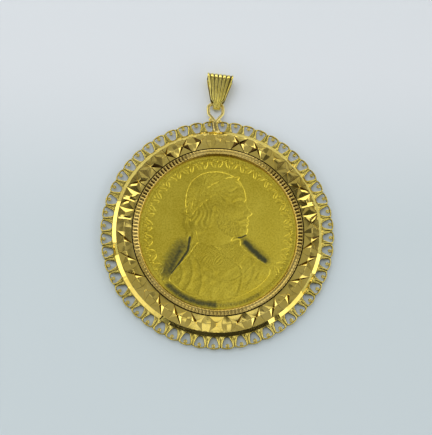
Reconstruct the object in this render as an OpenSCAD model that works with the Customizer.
// Gold coin pendant: a coin in a milled bezel, a diamond-cut band with a pierced edge, and a fluted bail.
// It lies on its back, face up, with the bail toward +Y, and stands on z = 0.

/* [Coin] */
// Diameter of the coin
coin_d = 39.5; // [39:0.1:39.7]
// Thickness of the coin at its field
coin_t = 0.5; // [0.45:0.05:0.6]
// Height of the relief above the field
relief_h = 0.42; // [0.2:0.02:0.5]

/* [Milled bezel] */
// Number of reeds around the bezel
reed_count = 144; // [120:12:156]
// Outside diameter of the bezel
bezel_d = 42.2; // [42:0.1:42.3]
// Height of the bezel over the back
bezel_h = 2.55; // [2.4:0.05:2.7]

/* [Diamond-cut band] */
// Number of oval facets, with an X cut between each two
oval_count = 30; // [24:2:36]
// Outside diameter of the band
band_d = 51.9; // [51:0.1:52]
// Height of the band's crown
crown_h = 3; // [2.8:0.05:3.2]
// Depth of the X cuts under the crown
cut_depth = 0.5; // [0.3:0.05:0.6]

/* [Pierced edge] */
// Number of loops around the edge
loop_count = 52; // [48:2:56]
// Outside diameter over the loops
edge_d = 57.9; // [57.5:0.1:58.5]
// Thickness of the pierced edge
edge_t = 0.9; // [0.7:0.1:1.1]

/* [Hanging ring] */
// Width of the ring, outside
ring_w = 4.6; // [4.5:0.05:4.8]
// Diameter of the ring's wire
ring_wire = 0.8; // [0.7:0.05:0.85]

/* [Bail] */
// Reach of the bail past its pivot
bail_reach = 7.9; // [7:0.1:9]
// Width of the bail at its top
bail_w = 6.65; // [6:0.05:7]
// Outside depth of the bail at its top
bail_depth = 4.4; // [4:0.1:5]
// Wall of the bail
bail_wall = 0.42; // [0.38:0.01:0.46]
// Lean of the bail to the right, in degrees
bail_lean = 7; // [0:0.5:8]
// Number of flutes on the bail
flute_count = 5; // [3:2:7]

/* [Hidden] */

gap = 0.06;
coin_gold = [0.80, 0.68, 0.25];
frame_gold = [0.83, 0.69, 0.36];

coin_r = coin_d / 2;
coin_z = 1.1;
field_z = coin_z + coin_t;

bezel_r = bezel_d / 2;
body_h = 1.95;
lip_z = field_z + 0.16;
back_lip_r = coin_r - 0.85;
front_lip_r = coin_r - 0.4;

band_r = band_d / 2;
band_in_r = bezel_r + 0.1;
bevel_in_r = band_r - 0.95;
crown_r = (band_in_r + bevel_in_r) / 2;
band_in_z = crown_h - 0.6;
bevel_in_z = crown_h - 0.65;
oval_turn = -2.2;
wall_z = 1.25;
hem_z = 0.3;
roof_z = 1.95;
shell = 0.6;

edge_z = 0.45;
edge_r = edge_d / 2;
loop_pitch = 360 / loop_count;

ring_z = 1.1;
ring_side = (ring_w - ring_wire) / 2;
ring_top_y = 33.5;
ring_corner = 1;
ring_low_y = 30.9;
foot_y = 29.3;

hinge_x = 0.4;
hinge_y = 33.44;
eye_depth = 0.66;
eye_drop = 1.03;

bail_high_y = hinge_y + bail_reach * cos(bail_lean) + bail_w / 2 * sin(bail_lean);
disc_y = -(bail_high_y - edge_r) / 2;

function polar(r, a, z) = [r * sin(a), r * cos(a), z];
function smooth(t) = let (c = min(max(t, 0), 1)) c * c * (3 - 2 * c);
function mirrored(side) = concat(side, [for (i = [len(side) - 1:-1:0]) [-side[i][0], side[i][1]]]);

// A smooth closed outline through the points of a short table, with a few steps between each two
function outline(pts, steps) = let (n = len(pts)) [
    for (i = [0:n - 1], s = [0:steps - 1])
        let (
            t = s / steps,
            before = pts[(i + n - 1) % n], from = pts[i], to = pts[(i + 1) % n], after = pts[(i + 2) % n]
        )
        from + 0.5 * t * ((to - before) + t * ((2 * before - 5 * from + 4 * to - after)
            + t * (3 * (from - to) + after - before)))
];

// Faces of a tube of rings: each ring has the same number of points, and the last joins the first
function tube_faces(rings, sides) = [
    for (i = [0:rings - 1], j = [0:sides - 1])
        let (a = i * sides, b = (i + 1) % rings * sides, k = (j + 1) % sides)
        each [[a + j, a + k, b + k], [a + j, b + k, b + j]]
];

// The bust looks to the right. Columns: x, y from the coin's centre
bust_line = [
    [6.4, -2.2], [5.2, -4.4], [7.4, -6.6], [11.4, -7.9], [12.2, -9.8], [8.6, -13.6], [3.4, -16.8],
    [-2.4, -17.5], [-8, -15.2], [-12, -11.8], [-11.2, -9], [-7.8, -6.8], [-5.2, -3.4]
];
head_line = [
    [6.9, 9], [7.1, 7.2], [8.5, 4.3], [7.4, 3.3], [7.6, 2.2], [7.2, 0.9], [7.3, -0.9], [5.9, -2.1],
    [3.4, -1.7], [1.4, -5], [-4.8, -5.4], [-5.6, 0], [-8, 5], [-7.6, 10.4], [-4.4, 14.2], [0.6, 15.2],
    [4.6, 13.6], [6.5, 11.4]
];
hair_line = [
    [6.2, 11.6], [4.4, 9.4], [2.4, 8.2], [1.8, 5.2], [0.2, 3.8], [-1.2, 1.2], [-4.6, 0.4], [-7.8, 5],
    [-7.4, 10.2], [-4.4, 13.9], [0.6, 14.9], [4.4, 13.4]
];
collar_line = [
    [5.4, -3], [2.2, -2.8], [-1.6, -3.8], [-5.4, -2.6], [-7, -6.4], [-3.8, -11], [2.6, -13], [7.4, -10.4],
    [7.2, -6.8]
];
wreath_leaves = 7;
sprig_count = 42;
sprig_from = -125;
sprig_to = 125;
sprig_r = 17.3;

module leaf(length, width) {
    polygon([
        [-length / 2, 0], [-length / 5, width / 2], [length / 5, width / 2.4],
        [length / 2, 0], [length / 5, -width / 2.4], [-length / 5, -width / 2]
    ]);
}

// The field, the rim and the plain back
module coin_blank() {
    translate([0, 0, coin_z]) cylinder(r = coin_r, h = coin_t, $fn = 180);
    translate([0, 0, field_z - 0.05]) difference() {
        cylinder(r = coin_r, h = 0.15, $fn = 180);
        translate([0, 0, -1]) cylinder(r = coin_r - 1, h = 2, $fn = 180);
    }
}

module raised(share) {
    translate([0, 0, field_z - 0.05]) linear_extrude(relief_h * share + 0.05) children();
}

module coin_relief() {
    raised(0.45) polygon(outline(bust_line, 2));
    raised(0.65) polygon(outline(collar_line, 2));
    raised(0.8) polygon(outline(head_line, 2));
    raised(0.93) polygon(outline(hair_line, 2));
    for (i = [0:wreath_leaves - 1]) {
        t = i / (wreath_leaves - 1);
        raised(1) translate([-6.2 + 10.6 * t, 6.4 + 5.6 * sin(90 * t)]) rotate(58 - 50 * t) leaf(3.2, 1.3);
    }
    for (i = [0:sprig_count - 1]) {
        a = sprig_from + (sprig_to - sprig_from) * i / (sprig_count - 1);
        raised(0.5) rotate(-a) translate([0, sprig_r]) rotate(i % 2 * 180 + 62) leaf(2, 0.85);
    }
}

module coin() {
    color(coin_gold) {
        coin_blank();
        coin_relief();
    }
}

// The bezel's body: flat back, and a seat between two lips for the coin's edge
module bezel_body() {
    seat_r = coin_r + gap;
    rotate_extrude($fn = 180) polygon([
        [back_lip_r, 0], [bezel_r, 0], [bezel_r, body_h], [front_lip_r, body_h], [front_lip_r, lip_z],
        [seat_r, lip_z], [seat_r, coin_z - gap], [back_lip_r, coin_z - gap]
    ]);
}

// The reeded crown: every other ring of points lies lower, so the reeds stand between V grooves
module reeds() {
    reed_depth = 0.2;
    // Columns: radius, height on a reed, share of the groove's depth there
    section = [
        [front_lip_r + 0.08, body_h - 0.2, 0], [front_lip_r + 0.12, body_h + 0.1, 0.4],
        [front_lip_r + 0.75, bezel_h - 0.05, 1], [bezel_r - 0.3, bezel_h, 1],
        [bezel_r - 0.1, body_h + 0.2, 0.3], [bezel_r - 0.14, body_h - 0.2, 0]
    ];
    rings = 2 * reed_count;
    pts = [
        for (i = [0:rings - 1], row = section)
            polar(row[0], 360 * i / rings, row[1] - i % 2 * row[2] * reed_depth)
    ];
    polyhedron(pts, tube_faces(rings, len(section)));
}

module coin_bezel() {
    color(frame_gold) {
        bezel_body();
        reeds();
    }
}

// The cut band. One unit holds an oval and the X beside it, and its rings close the shell underneath
module cut_band() {
    unit = 360 / oval_count;
    side_a = 0.28 * unit;
    part_a = 0.2 * unit;
    tip_r = [(band_in_r * 0.6 + crown_r * 1.4) / 2, (bevel_in_r * 0.6 + crown_r * 1.4) / 2];
    part_r = [(band_in_r + crown_r) / 2, (bevel_in_r + crown_r) / 2];
    part_z = crown_h - 0.2;
    // Columns: radius, height of the plain rings from the bevel round the shell to the bore
    rings = [
        [band_r, wall_z], [band_r, hem_z], [band_r - shell, hem_z], [band_r - shell - 0.5, roof_z],
        [band_in_r + shell + 0.3, roof_z], [band_in_r + shell, hem_z - 0.2], [band_in_r, hem_z - 0.2]
    ];
    cut_points = 14;
    per_unit = cut_points + 2 * len(rings);
    pts = [
        for (k = [0:oval_count - 1])
            let (o = k * unit + oval_turn, x = o + unit / 2)
            each concat([
                polar(band_in_r, o, band_in_z), polar(bevel_in_r, o, bevel_in_z),
                polar(crown_r, o, crown_h),
                polar(part_r[0], o + part_a, part_z), polar(crown_r, o + side_a, crown_h - 0.1),
                polar(part_r[1], o + part_a, part_z),
                polar(part_r[0], o - part_a, part_z), polar(crown_r, o - side_a, crown_h - 0.1),
                polar(part_r[1], o - part_a, part_z),
                polar(band_in_r, x, band_in_z), polar(bevel_in_r, x, bevel_in_z),
                polar(crown_r, x, crown_h - cut_depth),
                polar(tip_r[0], x, crown_h - 0.12), polar(tip_r[1], x, crown_h - 0.12)
            ], [for (row = rings, a = [o, x]) polar(row[0], a, row[1])])
    ];
    // Places in a unit: tips i and o, ridge c, right r, left l, and the X's x i, x o, x c and its two points
    faces = [
        for (k = [0:oval_count - 1])
            let (
                a = k * per_unit, b = (k + 1) % oval_count * per_unit,
                ti = a, to = a + 1, c = a + 2, ri = a + 3, rc = a + 4, ro = a + 5, li = a + 6, lc = a + 7,
                lo = a + 8, xi = a + 9, xo = a + 10, xc = a + 11, pi = a + 12, po = a + 13,
                nti = b, nto = b + 1, nli = b + 6, nlc = b + 7, nlo = b + 8
            )
            each concat([
                [ti, c, ri], [ri, c, rc], [c, to, ro], [c, ro, rc], [ti, li, c], [li, lc, c], [c, lo, to],
                [c, lc, lo],
                [ti, ri, xc], [ri, rc, xc], [rc, ro, xc], [ro, to, xc],
                [nti, xc, nli], [nli, xc, nlc], [nlc, xc, nlo], [nlo, xc, nto],
                [ti, xc, pi], [pi, xc, nti], [ti, pi, xi], [xi, pi, nti],
                [to, po, xc], [po, nto, xc], [to, xo, po], [xo, nto, po]
            ], [
                for (j = [0:len(rings)])
                    let (
                        last = len(rings),
                        row = cut_points + 2 * j,
                        p = j == 0 ? to : a + row - 2, q = j == 0 ? xo : p + 1,
                        np = j == 0 ? nto : b + row - 2,
                        s = j == last ? ti : a + row, t = j == last ? xi : s + 1,
                        ns = j == last ? nti : b + row
                    )
                    each [[p, s, t], [p, t, q], [q, t, ns], [q, ns, np]]
            ])
    ];
    polyhedron(pts, faces);
}

// One hole of the edge: narrow at the band and wide outwards, with a small prong from the outer rim.
// Each point is the half width and the depth under the outer rim
function hole_line(a) = let (
    half = [
        [0.34, 2.78], [0.64, 2.52], [0.84, 2.1], [1.01, 1.68], [1.14, 1.27], [1.2, 0.92], [1.1, 0.62],
        [0.8, 0.46], [0.28, 0.44], [0.24, 1.1], [0.1, 1.34]
    ],
    side = [for (p = half) [p[0], edge_r - p[1]]]
) [for (p = mirrored(side)) [p[0] * cos(a) + p[1] * sin(a), p[1] * cos(a) - p[0] * sin(a)]];

// The scalloped outline: an arc for each loop, from valley to valley
function scallops() = let (scallop_r = 3.2, centre_r = edge_r - scallop_r, steps = 7) [
    for (i = [0:loop_count - 1], s = [0:steps - 1])
        let (
            a = (i + 0.5) * loop_pitch,
            half = asin(centre_r * sin(loop_pitch / 2) / scallop_r) + loop_pitch / 2,
            t = -half + 2 * half * s / steps
        )
        [centre_r * sin(a) + scallop_r * sin(a + t), centre_r * cos(a) + scallop_r * cos(a + t)]
];

module pierced_edge() {
    in_r = band_r - shell / 2;
    rim = scallops();
    bore = [for (i = [0:loop_count - 1]) let (a = i * loop_pitch) [in_r * sin(a), in_r * cos(a)]];
    holes = [for (i = [0:loop_count - 1]) hole_line((i + 0.5) * loop_pitch)];
    hole_len = len(holes[0]);
    bore_at = len(rim);
    holes_at = bore_at + len(bore);
    translate([0, 0, edge_z]) linear_extrude(edge_t) polygon(
        concat(rim, bore, [for (hole = holes) each hole]),
        concat(
            [[for (i = [0:len(rim) - 1]) i], [for (i = [0:len(bore) - 1]) bore_at + i]],
            [for (i = [0:loop_count - 1]) [for (j = [0:hole_len - 1]) holes_at + i * hole_len + j]]
        )
    );
}

// The ring's wire follows a rounded bar at the top, straight sides, and a V that ends on the foot
module hanging_ring() {
    sides = 8;
    half = concat(
        [[0.28, foot_y - 0.35], [0.75, foot_y + 0.3], [ring_side - 0.35, ring_low_y - 0.35]],
        [[ring_side - 0.05, ring_low_y + 0.15], [ring_side, ring_low_y + 0.8]],
        [
            for (t = [0:18:90])
                [ring_side - ring_corner * (1 - cos(t)), ring_top_y - ring_corner * (1 - sin(t))]
        ]
    );
    path = mirrored(half);
    n = len(path);
    pts = [
        for (i = [0:n - 1])
            let (
                along = path[(i + 1) % n] - path[(i + n - 1) % n],
                out = [along[1], -along[0]] / norm(along)
            )
            for (j = [0:sides - 1])
                let (b = 360 * (j + 0.5) / sides, r = ring_wire / 2)
                [
                    path[i][0] + r * cos(b) * out[0], path[i][1] + r * cos(b) * out[1],
                    ring_z + r * sin(b)
                ]
    ];
    polyhedron(pts, tube_faces(n, sides));
}

// The foot rises from the band's bevel and carries the ring's V
module ring_foot() {
    intersection() {
        translate([0, 0, edge_z]) linear_extrude(3)
            polygon([[-1.1, bevel_in_r + 0.25], [1.1, bevel_in_r + 0.25], [0.55, foot_y], [-0.55, foot_y]]);
        rotate([90, 0, 90]) translate([0, 0, -2]) linear_extrude(4) polygon([
            [bevel_in_r + 0.2, edge_z + 0.1], [foot_y + 0.2, edge_z + 0.1], [foot_y + 0.2, ring_z + 0.3],
            [band_r + 0.4, ring_z + 0.55], [bevel_in_r + 0.2, bevel_in_z - 0.15]
        ]);
    }
}

module openwork_frame() {
    color(frame_gold) {
        cut_band();
        pierced_edge();
        hanging_ring();
        ring_foot();
    }
}

// The bail's loop seen from its side: s runs along it from the pivot, z is its height over the ring's plane.
// A station holds the outer place, the inner place and the share of the flutes' depth there
fold_r = bail_depth / 2;
fold_s = bail_reach - fold_r;
eye_r = eye_depth + bail_wall;
fold_z = fold_r - eye_r;

function eye_station(t) = [
    [-(eye_drop + bail_wall) * cos(t), eye_r * sin(t)], [-eye_drop * cos(t), eye_depth * sin(t)],
    smooth((t + 20) / 80)
];
function front_station(t) = [
    [fold_s * t, eye_r + (bail_depth - 2 * eye_r) * t],
    [fold_s * t, eye_depth + (bail_depth - 2 * eye_r) * t], 1
];
function fold_station(t) = [
    [fold_s + fold_r * cos(t), fold_z + fold_r * sin(t)],
    [fold_s + (fold_r - bail_wall) * cos(t), fold_z + (fold_r - bail_wall) * sin(t)], smooth((t + 60) / 60)
];
function back_station(t) = [[fold_s * t, -eye_r], [fold_s * t, -eye_depth], 0];

function bail_loop() = concat(
    [for (t = [-75:22.5:82.5]) eye_station(t)],
    [for (t = [0.02, 0.09, 0.17, 0.3, 0.5, 0.75]) front_station(t)],
    [for (t = [80:-20:-80]) fold_station(t)],
    [for (t = [0.9, 0.6, 0.3, 0.17, 0.09, 0.02]) back_station(t)]
);

function bail_half(s) = let (
    straight = bail_w / 2 - 0.218 * max(fold_s + 1 - s, 0),
    tip = 1 - 0.16 * pow(min(max(-s, 0) / (eye_drop + bail_wall), 1), 2)
) tip + (straight - tip) * smooth((s - 0.1) / 0.9);

// Across the bail: two raised side edges with flutes between them. Columns: place, depth share
function bail_section() = let (rim_in = 0.86, fluted = 0.8) concat(
    [[-1, 0], [-rim_in, 0]],
    [
        for (i = [0:2 * flute_count])
            [fluted * (i / flute_count - 1), i % 2 == 0 ? 1 : 0.15]
    ],
    [[rim_in, 0], [1, 0]]
);

module bail_loop_body() {
    flute_depth = 0.2;
    stations = bail_loop();
    across = bail_section();
    sides = len(across) + 2;
    pts = [
        for (row = stations)
            let (
                outer = row[0], inner = row[1], wide = bail_half(outer[0]),
                out = (outer - inner) / norm(outer - inner)
            )
            each concat(
                [
                    for (p = across)
                        let (place = outer - out * flute_depth * p[1] * row[2])
                        [p[0] * wide, place[0], place[1]]
                ],
                [[wide, inner[0], inner[1]], [-wide, inner[0], inner[1]]]
            )
    ];
    polyhedron(pts, [for (f = tube_faces(len(stations), sides)) [f[2], f[1], f[0]]]);
}

module bail() {
    color(frame_gold) translate([hinge_x, hinge_y, ring_z]) rotate(-bail_lean) bail_loop_body();
}

translate([0, disc_y, 0]) coin();
translate([0, disc_y, 0]) coin_bezel();
translate([0, disc_y, 0]) openwork_frame();
translate([0, disc_y, 0]) bail();
